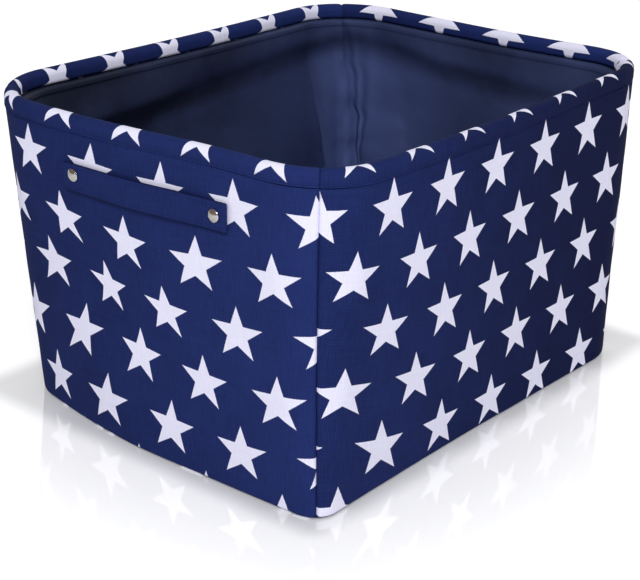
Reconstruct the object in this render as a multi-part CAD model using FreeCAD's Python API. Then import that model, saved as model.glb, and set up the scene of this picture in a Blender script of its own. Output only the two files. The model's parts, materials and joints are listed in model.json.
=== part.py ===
import FreeCAD, Part
import math
import os

# Fabric storage bin: printed canvas walls hung from a wire rim, stiffened, lined, with two strap handles.
# Millimetres. The origin is the centre of the underside, +X runs along the long side, +Y to the back and
# +Z up. Every size that can be set by itself is named once below; all other sizes follow from these.

# Body, measured over the canvas
RIM_LENGTH = 452.0
RIM_WIDTH = 352.0
RIM_CORNER_RADIUS = 70.0
BASE_LENGTH = 434.0
BASE_WIDTH = 334.0
BASE_EDGE_RADIUS = 3.0      # turn of the canvas from the wall to the floor
HEIGHT = 250.0

# The wire holds the rim even. The sewn base is not: the radii of its corners, how far they are pulled off
# the even outline along X and Y, and how far its sides bow out
FRONT_LEFT_RADIUS = 18.0
FRONT_RIGHT_RADIUS = 46.0
BACK_RIGHT_RADIUS = 26.0
BACK_LEFT_RADIUS = 44.0
FRONT_LEFT_PULL_X = 3.0
FRONT_LEFT_PULL_Y = -3.0
FRONT_RIGHT_PULL_X = -12.0
FRONT_RIGHT_PULL_Y = 1.0
BACK_LEFT_PULL_X = 20.0
BACK_LEFT_PULL_Y = -15.0
LEFT_SIDE_BOW = 12.0
SIDE_BOW = 0.4

# Plies of the wall, from the outside to the inside
CANVAS = 1.0
STIFFENER = 2.6
LINING = 0.6
PLY_GAP = 0.3               # air between two soft pieces that lie on each other
SEAM_GAP = 0.3              # air between two panels that meet at a corner seam

# Floor
BASE_BOARD = 3.0

# Rolled rim
HEM_HEIGHT = 12.6           # from the hem's stitch line to the top
HEM_DEPTH = 12.0            # from the outside to the inside of the roll
HEM_EDGE_RADIUS = 5.0
WIRE_DIAMETER = 4.0
WIRE_CLEARANCE = 0.3        # between the wire or its sleeve and the filling
WIRE_END_GAP = 1.0          # between the two ends of the wire, inside the sleeve
SLEEVE_LENGTH = 30.0
SLEEVE_WALL = 0.7
SLEEVE_FIT = 0.05           # between the wire and the bore of the sleeve

# Strap handles, one on each short side
STRAP_LENGTH = 152.0
STRAP_HEIGHT = 21.5
STRAP_THICKNESS = 2.2
STRAP_CORNER_RADIUS = 2.0
STRAP_DROP = 45.5           # from the top of the rim down to the strap's middle
STRAP_SHIFT = -12.5         # along Y, from the middle of the short side
RIVET_SPACING = 131.0
RIVET_CAP_DIAMETER = 10.0
RIVET_CAP_HEIGHT = 2.4
RIVET_POST_DIAMETER = 3.2
RIVET_POST_ENTRY = 1.0      # how far the post goes into its back
RIVET_BACK_DIAMETER = 9.0
RIVET_BACK_HEIGHT = 2.2
RIVET_FIT = 0.05            # between the post and the bore of its back

# Insets of the plies from the outside of the canvas
STIFFENER_INSET = CANVAS + PLY_GAP
LINING_INSET = STIFFENER_INSET + STIFFENER + PLY_GAP
WALL_THICKNESS = LINING_INSET + LINING

# Heights of the pieces of the floor
WALL_BOTTOM = CANVAS + PLY_GAP
BOARD_TOP = WALL_BOTTOM + BASE_BOARD
LINING_BOTTOM = BOARD_TOP + PLY_GAP
WALL_TOP = HEIGHT - HEM_HEIGHT - PLY_GAP
STRAP_MIDDLE = HEIGHT - STRAP_DROP

# The sides in quarter turns about Z: a piece drawn at the front (-Y) is turned on to each in this order
SIDES = ("front", "right", "back", "left")
HANDLE_SIDES = ("left", "right")

# The corners in the same order: corner 0 is where the front begins, front left
CORNER_SIGNS = ((-1, -1), (1, -1), (1, 1), (-1, 1))
BASE_RADII = (FRONT_LEFT_RADIUS, FRONT_RIGHT_RADIUS, BACK_RIGHT_RADIUS, BACK_LEFT_RADIUS)
BASE_PULLS = (
    FreeCAD.Vector(FRONT_LEFT_PULL_X, FRONT_LEFT_PULL_Y, 0),
    FreeCAD.Vector(FRONT_RIGHT_PULL_X, FRONT_RIGHT_PULL_Y, 0),
    FreeCAD.Vector(0, 0, 0),
    FreeCAD.Vector(BACK_LEFT_PULL_X, BACK_LEFT_PULL_Y, 0),
)
BASE_BOWS = (SIDE_BOW, SIDE_BOW, SIDE_BOW, LEFT_SIDE_BOW)
STRAIGHT_BOW = 0.01         # bow of a side that is straight, at the rim

UP = FreeCAD.Vector(0, 0, 1)
ORIGIN = FreeCAD.Vector(0, 0, 0)


def edge_inset(z):
    """How far the soft bottom edge has turned in at height z."""
    drop = max(BASE_EDGE_RADIUS - z, 0.0)
    return BASE_EDGE_RADIUS - math.sqrt(BASE_EDGE_RADIUS ** 2 - drop ** 2)


def mixed(at_base, at_rim, z):
    """A value that runs evenly from the base to the rim."""
    return at_base + (at_rim - at_base) * (z / HEIGHT)


def corner_point(number, z):
    """Where the two sides of a corner would meet at height z if it were sharp."""
    x, y = CORNER_SIGNS[number % 4]
    even = FreeCAD.Vector(x * mixed(BASE_LENGTH, RIM_LENGTH, z) / 2, y * mixed(BASE_WIDTH, RIM_WIDTH, z) / 2, 0)
    return even + BASE_PULLS[number % 4] * (1 - z / HEIGHT)


def side_circle(number, z):
    """Centre and radius of the long arc that one side of the outline follows at height z."""
    start, end = corner_point(number, z), corner_point(number + 1, z)
    bow = mixed(BASE_BOWS[number % 4], STRAIGHT_BOW, z)
    radius = ((end - start).Length ** 2 / 4 + bow ** 2) / (2 * bow)
    inward = UP.cross(end - start).normalize()
    return (start + end) * 0.5 + inward * (radius - bow), radius


def corner_circle(number, z):
    """Centre and radius of the arc that rounds a corner at height z and touches both its sides."""
    corner_radius = mixed(BASE_RADII[number % 4], RIM_CORNER_RADIUS, z)
    (first, first_radius), (second, second_radius) = side_circle(number - 1, z), side_circle(number, z)
    first_radius, second_radius = first_radius - corner_radius, second_radius - corner_radius
    across = second - first
    along = (first_radius ** 2 - second_radius ** 2 + across.Length ** 2) / (2 * across.Length)
    aside = math.sqrt(first_radius ** 2 - along ** 2)
    foot = first + FreeCAD.Vector(across).normalize() * along
    square = UP.cross(across).normalize() * aside
    corner = corner_point(number, z)
    return min((foot + square, foot - square), key=lambda point: (point - corner).Length), corner_radius


def heading(start, end, near):
    """The direction from one point to another in radians from +X, in the turn nearest to a given angle."""
    angle = math.atan2(end.y - start.y, end.x - start.x)
    return angle + 2 * math.pi * round((near - angle) / (2 * math.pi))


def side_headings(number, z):
    """Directions square to the outline where one side's long arc begins and ends."""
    centre = side_circle(number, z)[0]
    square = (number - 1) * math.pi / 2
    return [heading(centre, corner_circle(corner, z)[0], square) for corner in (number, number + 1)]


def seam_heading(number, z):
    """Direction of the seam in the middle of a corner's arc, counted on from the corner's first side."""
    return (side_headings(number - 1, z)[1] + side_headings(number, z)[0]) / 2


def rim_plan(side, inset):
    """The even outline of the rim as seen from one side: half its run, distance from the middle, radius."""
    half = (RIM_WIDTH, RIM_LENGTH) if side in HANDLE_SIDES else (RIM_LENGTH, RIM_WIDTH)
    return half[0] / 2 - inset, half[1] / 2 - inset, RIM_CORNER_RADIUS - inset


def to_side(shape, side):
    """Turn a piece drawn at the front to its own side."""
    shape.rotate(ORIGIN, UP, 90 * SIDES.index(side))
    return shape


def polar(centre, radius, angle, z):
    """A point on an arc, its angle counted from +X."""
    return FreeCAD.Vector(centre.x + radius * math.cos(angle), centre.y + radius * math.sin(angle), z)


def arc(circle, inset, start, end, z):
    """The stretch of a circle of the outline between two angles, inset towards its centre."""
    centre, radius = circle
    points = [polar(centre, radius - inset, angle, z) for angle in (start, (start + end) / 2, end)]
    return Part.Arc(*points).toShape()


def seam_angle(inner_radius):
    """How far half the gap of a seam reaches round a corner."""
    return math.asin(SEAM_GAP / 2 / inner_radius)


def line(start, end):
    return Part.LineSegment(start, end).toShape()


def panel_section(side, z, outer, inner):
    """Plan outline at height z of one ply of a wall panel, from corner seam to corner seam."""
    number = SIDES.index(side)
    begin, middle, end = corner_circle(number, z), side_circle(number, z), corner_circle(number + 1, z)
    square = side_headings(number, z)
    outer, inner = outer + edge_inset(z), inner + edge_inset(z)
    first = seam_heading(number, z) + seam_angle(begin[1] - inner)
    last = seam_heading(number + 1, z) - seam_angle(end[1] - inner)
    edges = []
    for inset, order in ((outer, 1), (inner, -1)):
        edges += [
            arc(begin, inset, first, square[0], z),
            arc(middle, inset, square[0], square[1], z),
            arc(end, inset, square[1], last, z),
        ][::order]
    closing = [(begin, first), (end, last)]
    for circle, angle in closing:
        ends = [polar(circle[0], circle[1] - inset, angle, z) for inset in (outer, inner)]
        edges.append(line(*ends))
    return Part.Wire(Part.__sortEdges__(edges))


def section_heights(bottom, top):
    """Heights of a loft's sections: a few round the soft bottom edge, then one straight rise."""
    turn = [BASE_EDGE_RADIUS * (1 - math.cos(math.radians(angle))) for angle in (45, 65, 90)]
    return [bottom] + [z for z in turn if z > bottom + PLY_GAP] + [top]


def wall_panel(side, outer, thickness, bottom):
    """One ply of one wall, with the holes for the rivets where it carries a handle."""
    sections = [panel_section(side, z, outer, outer + thickness) for z in section_heights(bottom, WALL_TOP)]
    panel = Part.makeLoft(sections, True, True)
    if side in HANDLE_SIDES:
        panel = panel.cut(rivet_holes(side))
    return panel


def outline_wire(z, inset):
    """The whole plan outline at height z as one closed wire."""
    inset = inset + edge_inset(z)
    edges = []
    for number in range(4):
        start, end = side_headings(number, z)
        next_start = side_headings(number + 1, z)[0]
        edges.append(arc(side_circle(number, z), inset, start, end, z))
        edges.append(arc(corner_circle(number + 1, z), inset, end, next_start, z))
    return Part.Wire(edges)


def outer_base():
    """The canvas under the floor: flat where it rests, turned up all round to meet the wall panels."""
    return Part.makeLoft([outline_wire(0.0, 0.0), outline_wire(CANVAS, 0.0)], True, True)


def floor_sheet(bottom, thickness, inset):
    """A flat sheet of the floor that lies inside the given inset."""
    sheet = Part.Face(outline_wire(bottom, inset + PLY_GAP))
    return sheet.extrude(FreeCAD.Vector(0, 0, thickness))


def rounded_profile(x, outer, inset):
    """Upright section of the rim roll in the plane X = x, inset all round from the hem's outside."""
    width = HEM_DEPTH - 2 * inset
    height = HEM_HEIGHT - 2 * inset
    corner = FreeCAD.Vector(x, -outer + inset, HEIGHT - HEM_HEIGHT + inset)
    block = Part.makeBox(1, width, height, corner)
    edges = [edge for edge in block.Edges if abs(edge.tangentAt(edge.FirstParameter).x) > 0.5]
    block = block.makeFillet(HEM_EDGE_RADIUS - inset, edges)
    return [face for face in block.Faces if face.CenterOfMass.x < x + 0.01][0]


def wire_profile(x, outer, radius):
    """Round section in the plane X = x on the centre line of the rim roll."""
    centre = FreeCAD.Vector(x, -outer + HEM_DEPTH / 2, HEIGHT - HEM_HEIGHT / 2)
    circle = Part.Circle(centre, FreeCAD.Vector(1, 0, 0), radius).toShape()
    return Part.Face(Part.Wire([circle]))


def along_rim(side, profile, end):
    """Carry an upright section along one side of the rim and round each corner as far as the end angle."""
    run, out, radius = rim_plan(side, 0.0)
    x = run - radius
    y = radius - out
    straight = profile(-x, out).extrude(FreeCAD.Vector(2 * x, 0, 0))
    angle = math.degrees(end)
    right = profile(x, out).revolve(FreeCAD.Vector(x, y, 0), UP, angle)
    left = profile(-x, out).revolve(FreeCAD.Vector(-x, y, 0), UP, -angle)
    return to_side(straight.fuse([right, left]).removeSplitter(), side)


def roll_end(side):
    """The end angle of a soft piece of the rim."""
    return math.pi / 4 - seam_angle(rim_plan(side, HEM_DEPTH)[2])


def hem(side):
    """The canvas turned over at the top of one panel and stitched down: a sleeve round filling and wire."""
    outside = along_rim(side, lambda x, out: rounded_profile(x, out, 0.0), roll_end(side))
    hollow = along_rim(side, lambda x, out: rounded_profile(x, out, CANVAS), roll_end(side))
    return outside.cut(hollow)


def sleeve_radius():
    return WIRE_DIAMETER / 2 + SLEEVE_FIT + SLEEVE_WALL


def cylinder_at_joint(radius, length):
    """A cylinder round the wire at the middle of the back, where its ends meet."""
    out = rim_plan("back", 0.0)[1]
    centre = FreeCAD.Vector(-length / 2, out - HEM_DEPTH / 2, HEIGHT - HEM_HEIGHT / 2)
    return Part.makeCylinder(radius, length, centre, FreeCAD.Vector(1, 0, 0))


def rim_filling(side):
    """The top of one stiffener sheet, turned over the wire inside the hem."""
    body = along_rim(side, lambda x, out: rounded_profile(x, out, CANVAS + PLY_GAP), roll_end(side))
    bore_radius = WIRE_DIAMETER / 2 + WIRE_CLEARANCE
    bore = along_rim(side, lambda x, out: wire_profile(x, out, bore_radius), roll_end(side))
    filling = body.cut(bore)
    if side == "back":
        pocket = cylinder_at_joint(sleeve_radius() + WIRE_CLEARANCE, SLEEVE_LENGTH + 2 * WIRE_CLEARANCE)
        filling = filling.cut(pocket)
    return filling


def rim_wire():
    """The steel ring of the rim, open where its ends meet inside the sleeve."""
    radius = WIRE_DIAMETER / 2
    sides = [along_rim(side, lambda x, out: wire_profile(x, out, radius), math.pi / 4) for side in SIDES]
    ring = sides[0].fuse(sides[1:]).removeSplitter()
    return ring.cut(cylinder_at_joint(WIRE_DIAMETER, WIRE_END_GAP))


def wire_sleeve():
    """The tube that joins the two ends of the wire."""
    tube = cylinder_at_joint(sleeve_radius(), SLEEVE_LENGTH)
    return tube.cut(cylinder_at_joint(WIRE_DIAMETER / 2 + SLEEVE_FIT, SLEEVE_LENGTH))


def wall_point(side, z):
    """The point of a wall's canvas at height z that lies behind the middle of its strap."""
    centre, radius = side_circle(SIDES.index(side), z)
    sign = 1 if side == "right" else -1
    return FreeCAD.Vector(centre.x + sign * math.sqrt(radius ** 2 - (STRAP_SHIFT - centre.y) ** 2), STRAP_SHIFT, z)


def onto_wall(shape, side):
    """Lay a handle piece, drawn about the strap's centre with -Y out of the wall, on its leaning wall."""
    number = SIDES.index(side)
    place = wall_point(side, STRAP_MIDDLE)
    outward = place - side_circle(number, STRAP_MIDDLE)[0]
    along = UP.cross(FreeCAD.Vector(outward.x, outward.y, 0)).normalize()
    rise = wall_point(side, STRAP_MIDDLE + STRAP_HEIGHT / 2) - wall_point(side, STRAP_MIDDLE - STRAP_HEIGHT / 2)
    inward = rise.cross(along).normalize()
    up = along.cross(inward)
    matrix = FreeCAD.Matrix(
        along.x, inward.x, up.x, place.x,
        along.y, inward.y, up.y, place.y,
        along.z, inward.z, up.z, place.z,
        0, 0, 0, 1)
    shape.Placement = FreeCAD.Placement(matrix)
    return shape


def fall_at_rivets(side):
    """How far a bowed wall has fallen back at the rivets from the plane that its strap lies on."""
    radius = side_circle(SIDES.index(side), STRAP_MIDDLE)[1]
    return radius - math.sqrt(radius ** 2 - (RIVET_SPACING / 2) ** 2)


def at_rivets(shape):
    """Two copies of a shape, one at each rivet of a strap."""
    pair = []
    for x in (-RIVET_SPACING / 2, RIVET_SPACING / 2):
        copy = shape.copy()
        copy.translate(FreeCAD.Vector(x, 0, 0))
        pair.append(copy)
    return Part.makeCompound(pair)


def post(radius, start, end):
    """A cylinder square to the wall, from one distance out of its canvas to another."""
    return Part.makeCylinder(radius, end - start, FreeCAD.Vector(0, -start, 0), FreeCAD.Vector(0, -1, 0))


def rivet_holes(side):
    """What the rivet posts take out of a wall, with room round them."""
    radius = RIVET_POST_DIAMETER / 2 + PLY_GAP
    return onto_wall(at_rivets(post(radius, -2 * WALL_THICKNESS, WALL_THICKNESS)), side)


def strap(side):
    """The double canvas strap, lying on the wall and held at its two ends."""
    size = FreeCAD.Vector(STRAP_LENGTH, STRAP_THICKNESS, STRAP_HEIGHT)
    corner = FreeCAD.Vector(-size.x / 2, -PLY_GAP - size.y, -size.z / 2)
    plate = Part.makeBox(size.x, size.y, size.z, corner)
    edges = [edge for edge in plate.Edges if abs(edge.tangentAt(edge.FirstParameter).y) > 0.5]
    plate = plate.makeFillet(STRAP_CORNER_RADIUS, edges)
    holes = at_rivets(post(RIVET_POST_DIAMETER / 2 + PLY_GAP, 0.0, 2 * PLY_GAP + STRAP_THICKNESS))
    return onto_wall(plate.cut(holes), side)


def dome(diameter, height):
    """A shallow dome that stands on the wall's plane and bulges out of it."""
    rim = FreeCAD.Vector(diameter / 2, 0, 0)
    top = FreeCAD.Vector(0, -height, 0)
    ball_radius = (diameter ** 2 / 4 + height ** 2) / (2 * height)
    half_angle = math.asin(diameter / 2 / ball_radius) / 2
    middle = FreeCAD.Vector(ball_radius * math.sin(half_angle),
                            ball_radius - height - ball_radius * math.cos(half_angle), 0)
    outline = Part.Wire([line(ORIGIN, rim), Part.Arc(rim, middle, top).toShape(), line(top, ORIGIN)])
    return Part.Face(outline).revolve(ORIGIN, FreeCAD.Vector(0, 1, 0), 360)


def rivets(side):
    """The two domed rivets of a strap, each a cap with its post through strap and wall."""
    cap_seat = 2 * PLY_GAP + STRAP_THICKNESS
    post_end = -(WALL_THICKNESS + PLY_GAP + fall_at_rivets(side) + RIVET_POST_ENTRY)
    cap = dome(RIVET_CAP_DIAMETER, RIVET_CAP_HEIGHT)
    cap.translate(FreeCAD.Vector(0, -cap_seat, 0))
    rivet = cap.fuse(post(RIVET_POST_DIAMETER / 2, post_end, cap_seat))
    return onto_wall(at_rivets(rivet.removeSplitter()), side)


def rivet_backs(side):
    """The two domed backs on the lining, pressed onto the ends of the rivet posts."""
    seat = -(WALL_THICKNESS + PLY_GAP + fall_at_rivets(side))
    back = dome(RIVET_BACK_DIAMETER, RIVET_BACK_HEIGHT)
    back.rotate(ORIGIN, FreeCAD.Vector(1, 0, 0), 180)
    back.translate(FreeCAD.Vector(0, -seat, 0))
    bore = post(RIVET_POST_DIAMETER / 2 + RIVET_FIT, seat - RIVET_POST_ENTRY - RIVET_FIT, seat)
    return onto_wall(at_rivets(back.cut(bore)), side)


def pieces():
    """Every node of the bin with its shape."""
    yield "outer_base", outer_base()
    yield "base_board", floor_sheet(WALL_BOTTOM, BASE_BOARD, STIFFENER_INSET + STIFFENER)
    yield "lining_base", floor_sheet(LINING_BOTTOM, LINING, WALL_THICKNESS)
    for side in SIDES:
        yield "outer_" + side, wall_panel(side, 0.0, CANVAS, WALL_BOTTOM)
        yield "stiffener_" + side, wall_panel(side, STIFFENER_INSET, STIFFENER, WALL_BOTTOM)
        yield "lining_" + side, wall_panel(side, LINING_INSET, LINING, LINING_BOTTOM)
        yield "hem_" + side, hem(side)
        yield "rim_filling_" + side, rim_filling(side)
    yield "rim_wire", rim_wire()
    yield "wire_sleeve", wire_sleeve()
    for side in HANDLE_SIDES:
        yield side + "_strap", strap(side)
        yield side + "_rivets", rivets(side)
        yield side + "_rivet_backs", rivet_backs(side)


os.makedirs("parts", exist_ok=True)
for node, shape in pieces():
    shape.exportStep("parts/" + node + ".step")
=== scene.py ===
import json
import math
from functools import partialmethod

import bmesh
import bpy
import numpy as np
from mathutils import Matrix, Vector


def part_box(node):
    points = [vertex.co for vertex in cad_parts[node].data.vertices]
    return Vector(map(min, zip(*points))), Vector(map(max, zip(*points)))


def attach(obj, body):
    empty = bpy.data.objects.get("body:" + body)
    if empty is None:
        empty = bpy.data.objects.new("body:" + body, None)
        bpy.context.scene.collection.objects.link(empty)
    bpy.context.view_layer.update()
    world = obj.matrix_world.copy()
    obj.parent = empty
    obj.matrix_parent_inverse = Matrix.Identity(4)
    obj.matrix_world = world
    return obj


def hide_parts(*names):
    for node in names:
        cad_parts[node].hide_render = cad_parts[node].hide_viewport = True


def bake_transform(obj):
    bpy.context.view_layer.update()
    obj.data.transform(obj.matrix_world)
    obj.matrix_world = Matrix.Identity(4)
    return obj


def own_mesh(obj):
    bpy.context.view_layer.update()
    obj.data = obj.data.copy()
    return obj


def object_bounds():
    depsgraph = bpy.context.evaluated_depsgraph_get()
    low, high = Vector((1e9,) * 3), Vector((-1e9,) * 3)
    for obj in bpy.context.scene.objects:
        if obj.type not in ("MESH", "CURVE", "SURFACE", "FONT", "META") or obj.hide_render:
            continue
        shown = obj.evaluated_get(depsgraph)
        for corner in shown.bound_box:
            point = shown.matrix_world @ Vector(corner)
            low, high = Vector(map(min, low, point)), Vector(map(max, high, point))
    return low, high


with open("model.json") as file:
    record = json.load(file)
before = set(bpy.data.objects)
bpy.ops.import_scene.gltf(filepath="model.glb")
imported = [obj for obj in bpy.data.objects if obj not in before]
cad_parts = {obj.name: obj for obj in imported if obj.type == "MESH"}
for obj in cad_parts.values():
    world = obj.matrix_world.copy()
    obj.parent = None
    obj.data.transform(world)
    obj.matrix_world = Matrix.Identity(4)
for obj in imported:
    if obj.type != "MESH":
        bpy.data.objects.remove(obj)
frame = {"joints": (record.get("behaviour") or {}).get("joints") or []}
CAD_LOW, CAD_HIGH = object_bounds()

# Fabric storage bin: star-printed canvas walls, a rolled rim over a wire, a satin lining and two straps.
# Metres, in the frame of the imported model: +Z up, the long side along X, the front at -Y.

SIDES = ("front", "right", "back", "left")
HANDLE_SIDES = ("left", "right")
END_NAMES = {-1: "first", 1: "second"}

# ---- sizes

HEIGHT = CAD_HIGH.z
HALF_RIM = (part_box("hem_right")[1].x, -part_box("hem_front")[0].y)
LEAN = (0.009, 0.009)  # how far the rim stands out over the base, along X and Y
EDGE_RADIUS = 0.0025  # turn of the canvas from the wall to the floor
WALL_BOTTOM, WALL_TOP = (corner.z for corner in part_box("outer_front"))

# Corner radii in the order front left, front right, back right, back left
BASE_RADII = (0.019, 0.057, 0.026, 0.037)
RIM_RADII = (0.062, 0.073, 0.069, 0.066)
# How far this sewn bin's corners are pulled off the even outline along X and Y, in the same order
BASE_PULL = ((0.0018, -0.0043), (-0.0090, 0.0), (0.0, 0.0), (0.0250, -0.0135))
RIM_PULL = ((0.0028, 0.0056), (0.0142, 0.0120), (0.0013, 0.0100), (0.0110, 0.0014))
# How far its sides bow out in their middle, and how far they swing in an S, front, right, back and left
BASE_BOW = (-0.0009, -0.0001, -0.0005, 0.0013)
RIM_BOW = (-0.0009, -0.0026, -0.0012, -0.0017)
RIM_SWING = (-0.0036, 0.0, 0.0, 0.0080)

CANVAS = 0.001
STIFFENER = 0.0026
LINING = 0.0006
PLY_GAP = 0.0003
STIFFENER_INSET = CANVAS + PLY_GAP
LINING_INSET = STIFFENER_INSET + STIFFENER + PLY_GAP
WALL_INSIDE = LINING_INSET + LINING + PLY_GAP  # clear of the lining's inner face
SEAM_CLEAR = 0.03  # how far the felt ends before a corner seam, in stations
LINING_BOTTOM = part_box("lining_front")[0].z
BOARD_LOW, BOARD_HIGH = (corner.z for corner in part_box("base_board"))

HEM_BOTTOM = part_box("hem_front")[0].z
CANVAS_TOP = HEM_BOTTOM - 0.00006  # the canvas goes on into the hem
FELT_TOP = HEM_BOTTOM - 0.0035
HEM_HEIGHT = HEIGHT - HEM_BOTTOM
HEM_DEPTH = 0.012
HEM_TOP_RADIUS = 0.0059
HEM_INNER_RADIUS = 0.0036
HEM_OUTER_RADIUS = 0.0007
STITCH_LINE = 0.0017  # height of the hem's stitches above its bottom
STITCH_SINK = 0.0004  # how deep they press into the canvas
ROLL_START = 4  # points of the turn with which the section of the roll starts
WIRE_RADIUS = 0.002
WIRE_BORE = 0.0023
WIRE_END_GAP = 0.001
SLEEVE_LENGTH = 0.030
SLEEVE_OUTER = 0.00275
SLEEVE_BORE = 0.00205
SLEEVE_POCKET = 0.00305
SLEEVE_PLAY = 0.0006  # from its ends to the ends of its pocket
CRIMPS = (-0.010, -0.005, 0.005, 0.010)
CRIMP_DEPTH = 0.00022
CRIMP_WIDTH = 0.0011

STRAP_LENGTH = 0.152
STRAP_HEIGHT = 0.0215
STRAP_THICKNESS = 0.0022
STRAP_ROUND = 0.0008  # radius of its long edges
STRAP_MIDDLE = 0.2045
STRAP_STITCH_EDGE = 0.0026  # from the strap's edge to its stitches
STRAP_STITCH_LEVEL = 0.38  # how high they lie from its middle, as a share of its height
STRAP_BOW = 0.0013  # how far the strap stands off between its rivets
STRAP_TILT = 0.0009  # how much further its lower edge stands off than its upper one
STRAP_STAND = 0.0014  # how far it stands off the wall at its rivets
RIVET_SPACING = 0.131
RIVET_RAISED = {("left", -1): 0.0026, ("left", 1): 0.0005}  # how far above the strap's middle, as sewn
CAP_RADIUS = 0.005
CAP_HEIGHT = 0.0028
CAP_LIP = 0.0006
CAP_FLOOR = 0.0003  # from a cap's lip up to its underside
POST_RADIUS = 0.0016
POST_PLAY = 0.00005
POST_BORE = POST_RADIUS + POST_PLAY
POST_BEYOND = 0.0010  # how far the post reaches into its back
BACK_RADIUS = 0.0045
BACK_HEIGHT = 0.0022
STRAP_FREE = RIVET_SPACING / 2 - CAP_RADIUS  # from the strap's middle to where its rivets hold it
STRAP_GRIPPED = 0.004  # from its middle to where it moves with the hand

SEAM_DEPTH = 0.0024  # how far the canvas dips into a corner seam
SEAM_WIDTH = 0.0013
THREAD_RADIUS = 0.00020
STITCH_LENGTH = 0.0026
STITCH_PITCH = 0.0034
STITCH_START = 0.003  # from a corner seam or a strap's end to the first stitch
SEAM_STRAY = {"back": 0.9}  # stations by which the lining's seam strays at the base onto the side before
FOLD_TOP = 0.221  # height of the lining's fold at the far corner
FOLD_FALL = 0.075  # how much it sinks per length of cloth away from there
FOLD_REACH = 0.30  # and how far
LEDGE = WALL_TOP - 0.0058  # height of the lining's step below the hem
TUCK = 0.0034  # how far its top edge is drawn in under the hem
TUCK_HEIGHT = 0.0010

# The print: rows of upright stars, every second row moved by half a pitch
STAR_PITCH = 0.06393
STAR_ROW = 0.04774
STAR_RADIUS = 0.0220
STAR_WAIST = 0.405  # inner radius of a star as a share of its outer one
# How the print lies on each panel, as pairs along it and up it; the front and the left side count from the
# seam between them, the others from their first seam. start: a star of the first row at the rim; lean: how
# far the rows wander by the base; seam, fan: how much further at the seam and at the far end; shifts: local
# moves that a program fitted to the photograph's stars, as run, height, reach and amounts; pace: print per
# length of cloth
PRINT = {
    "front": dict(
        start=(0.0610, 0.2158), lean=(0.0081, 0.0009), seam=(-0.0207, 0.0192), fan=(0.0260, -0.0111),
        shifts=(
            (0.040, 0.060, 0.080, -0.0058, 0.0090), (0.180, 0.180, 0.080, -0.0050, 0.0016),
            (0.140, 0.080, 0.080, 0.0056, -0.0020), (0.000, 0.217, 0.035, 0.0044, -0.0024),
            (0.000, 0.134, 0.035, -0.0016, 0.0020),
        ),
    ),
    "left": dict(
        start=(0.0049, 0.2107), lean=(-0.0082, 0.0138), seam=(-0.0036, 0.0083), fan=(0.0195, -0.0086),
        shifts=(
            (0.140, 0.160, 0.055, 0.0088, -0.0055), (0.240, 0.040, 0.055, 0.0078, -0.0008),
            (0.260, 0.120, 0.055, -0.0085, 0.0084), (0.260, 0.200, 0.055, 0.0079, 0.0015),
            (0.180, 0.100, 0.055, -0.0080, 0.0078), (0.215, 0.168, 0.045, 0.0075, -0.0014),
            (0.215, 0.127, 0.045, -0.0080, 0.0010), (0.100, 0.250, 0.040, 0.0030, 0.0000),
            (0.000, 0.213, 0.030, -0.0027, -0.0019), (0.000, 0.128, 0.032, -0.0055, 0.0027),
            (0.000, 0.040, 0.032, -0.0038, 0.0010),
        ),
    ),
    "back": dict(start=(0.0070, 0.2206)),
    "right": dict(start=(0.0380, 0.2083), pace=0.936),
}
FAN_LENGTH = 0.4
SEAM_REACH = 0.045  # how far from the seam the print is still bent
WEAVE_PITCH = 0.00118


def srgb(*channels):
    """A colour given as 0 to 255 per channel, in linear light."""
    shares = [channel / 255 for channel in channels]
    return (*(x / 12.92 if x <= 0.04045 else ((x + 0.055) / 1.055) ** 2.4 for x in shares), 1.0)


# ---- shape of the bin

def share_up(z):
    return z / HEIGHT


def bell(distance, width):
    """1 at no distance, falling off over the width."""
    return np.exp(-(distance / width) ** 2)


def rise(value, middle, width):
    """A soft step from 0 to 1."""
    return 0.5 + 0.5 * np.tanh((value - middle) / width)


def swing(angle):
    """A wave between 0 and 1."""
    return 0.5 + 0.5 * np.sin(angle)


def corner_radii(side, z):
    """Radii of the corners at which a side starts and ends."""
    number = SIDES.index(side)
    corners = (number, (number + 1) % 4)
    return [BASE_RADII[i] + (RIM_RADII[i] - BASE_RADII[i]) * share_up(z) for i in corners]


def edge_inset(z):
    """How far the soft bottom edge has turned in at height z."""
    drop = np.maximum(EDGE_RADIUS - z, 0.0)
    return EDGE_RADIUS - np.sqrt(EDGE_RADIUS ** 2 - drop ** 2)


def half_sizes(side, z):
    """Half the run of a side and its distance from the middle at height z."""
    half = [HALF_RIM[i] - LEAN[i] * (1 - share_up(z)) for i in (0, 1)]
    return half[::-1] if side in HANDLE_SIDES else half


def station_angles(station):
    left = (math.pi / 4) * (1 - np.clip(station, 0, 1))
    right = (math.pi / 4) * np.clip(station - 2, 0, 1)
    return left, right


def run_from_seam(side, station, z):
    """Length of cloth from the panel's first seam to a station, and of the whole panel, at height z."""
    first, last = corner_radii(side, z)
    straight = 2 * half_sizes(side, z)[0] - first - last
    left, right = station_angles(station)
    run = first * (math.pi / 4 - left) + straight * np.clip(station - 1, 0, 1) + last * right
    return run, (first + last) * math.pi / 4 + straight


def turned(x, y, side):
    quarter = SIDES.index(side)
    cosine, sine = (1, 0, -1, 0)[quarter], (0, 1, 0, -1)[quarter]
    return x * cosine - y * sine, x * sine + y * cosine


def relief(side, run, z):
    """The slight unevenness of a stiffened cloth wall, outward."""
    phase = 1.7 * SIDES.index(side)
    broad = 0.00035 * np.sin(31 * run + 14 * z + phase) * np.sin(17 * z + 2 * phase + 9 * run)
    fine = 0.00014 * np.sin(83 * run - 47 * z + 2.3 * phase) + 0.00010 * np.sin(140 * z + 33 * run + phase)
    return broad + fine


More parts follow.
